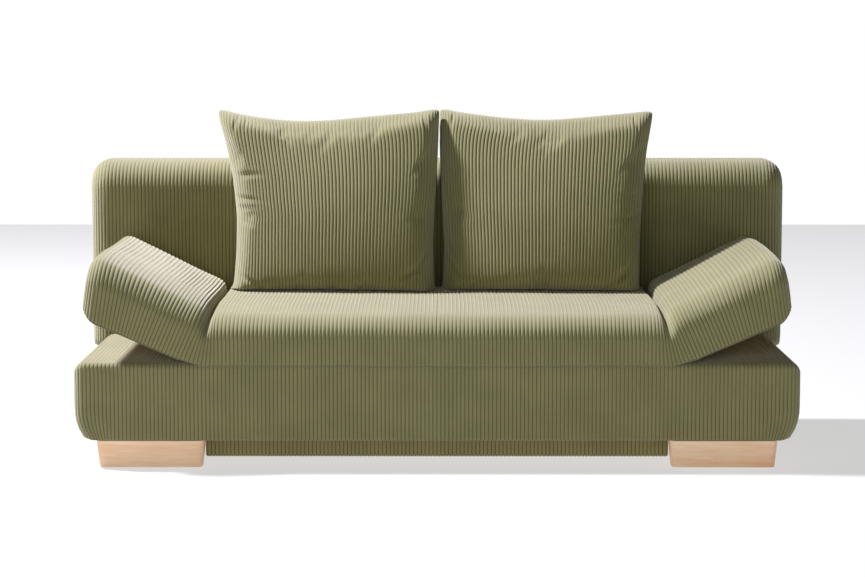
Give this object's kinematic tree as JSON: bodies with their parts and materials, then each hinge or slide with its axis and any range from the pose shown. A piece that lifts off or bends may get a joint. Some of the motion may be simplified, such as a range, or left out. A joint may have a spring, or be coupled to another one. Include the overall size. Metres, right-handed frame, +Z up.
{
  "type": "futon sofa bed",
  "caption": "Wide upholstered sofa bed on wooden feet: ribbed-cloth bedding box, folding seat, hinged arms, fold-flat back and loose back pillows.",
  "frame": {"origin": "middle of the ground under the sofa, at the centre of its box", "axes": "+X to the sitter's left seen from the front (right in a front view), +Y from front to back, +Z up"},
  "size_m": [2.105, 0.885, 0.97],
  "materials": {
    "corduroy": "ribbed cotton-like cloth, matt with a soft sheen",
    "lining": "plain woven backing cloth",
    "beech": "pale beech, clear satin lacquer",
    "timber": "raw board and softwood",
    "zinc_steel": "zinc-plated pressed steel"
  },
  "bodies": {
    "base": {"base_floor_panel": "timber", "base_front_board": "timber", "base_front_pad": "corduroy", "base_left_board": "timber", "base_left_deck": "timber", "base_left_deck_pad": "corduroy", "base_left_pad": "corduroy", "base_left_partition": "timber", "base_rear_board": "timber", "base_rear_cover": "lining", "base_right_board": "timber", "base_right_deck": "timber", "base_right_deck_pad": "corduroy", "base_right_pad": "corduroy", "base_right_partition": "timber", "front_left_foot": "beech", "front_right_foot": "beech", "left_hinge_bracket": "zinc_steel", "left_pivot_bolt": "zinc_steel", "plinth_board": "timber", "plinth_cover": "corduroy", "rear_left_foot": "beech", "rear_right_foot": "beech", "right_hinge_bracket": "zinc_steel", "right_pivot_bolt": "zinc_steel"},
    "seat": {"left_arm_hinge_pin": "zinc_steel", "left_seat_leaf": "zinc_steel", "left_seat_lever": "zinc_steel", "right_arm_hinge_pin": "zinc_steel", "right_seat_leaf": "zinc_steel", "right_seat_lever": "zinc_steel", "seat_deck": "timber", "seat_front_rail": "timber", "seat_left_rail": "timber", "seat_pad": "corduroy", "seat_rear_rail": "timber", "seat_right_rail": "timber", "seat_slat_1": "timber", "seat_slat_2": "timber", "seat_slat_3": "timber"},
    "back": {"back_bottom_rail": "timber", "back_left_end_stile": "timber", "back_left_hinge_stile": "timber", "back_pad": "corduroy", "back_panel": "timber", "back_rear_cover": "lining", "back_right_end_stile": "timber", "back_right_hinge_stile": "timber", "back_top_rail": "timber", "left_back_lever": "zinc_steel", "right_back_lever": "zinc_steel"},
    "left_arm": {"left_arm_pad": "corduroy", "left_arm_board": "timber", "left_arm_leaf": "zinc_steel"},
    "right_arm": {"right_arm_pad": "corduroy", "right_arm_board": "timber", "right_arm_leaf": "zinc_steel"},
    "left_pillow": {"left_pillow": "corduroy"},
    "right_pillow": {"right_pillow": "corduroy"}
  },
  "joints": [
    {"name": "seat_lift", "type": "hinge", "parent": "base", "child": "seat", "pos_m": [0, 0.3425, 0.35], "axis": [-1, 0, 0], "range_deg": [0, 34]},
    {"name": "back_fold", "type": "hinge", "parent": "seat", "child": "back", "pos_m": [0, 0.3425, 0.35], "axis": [1, 0, 0], "range_deg": [-90, 0]},
    {"name": "left_arm_tilt", "type": "hinge", "parent": "seat", "child": "left_arm", "pos_m": [-0.643, 0, 0.3053], "axis": [0, 1, 0], "range_deg": [-22, 30]},
    {"name": "right_arm_tilt", "type": "hinge", "parent": "seat", "child": "right_arm", "pos_m": [0.643, 0, 0.3053], "axis": [0, -1, 0], "range_deg": [-22, 30]},
    {"name": "left_pillow_lift", "type": "slide", "parent": "back", "child": "left_pillow", "axis": [0, 0, 1], "range_m": [0, 0.45]},
    {"name": "right_pillow_lift", "type": "slide", "parent": "back", "child": "right_pillow", "axis": [0, 0, 1], "range_m": [0, 0.45]}
  ]
}
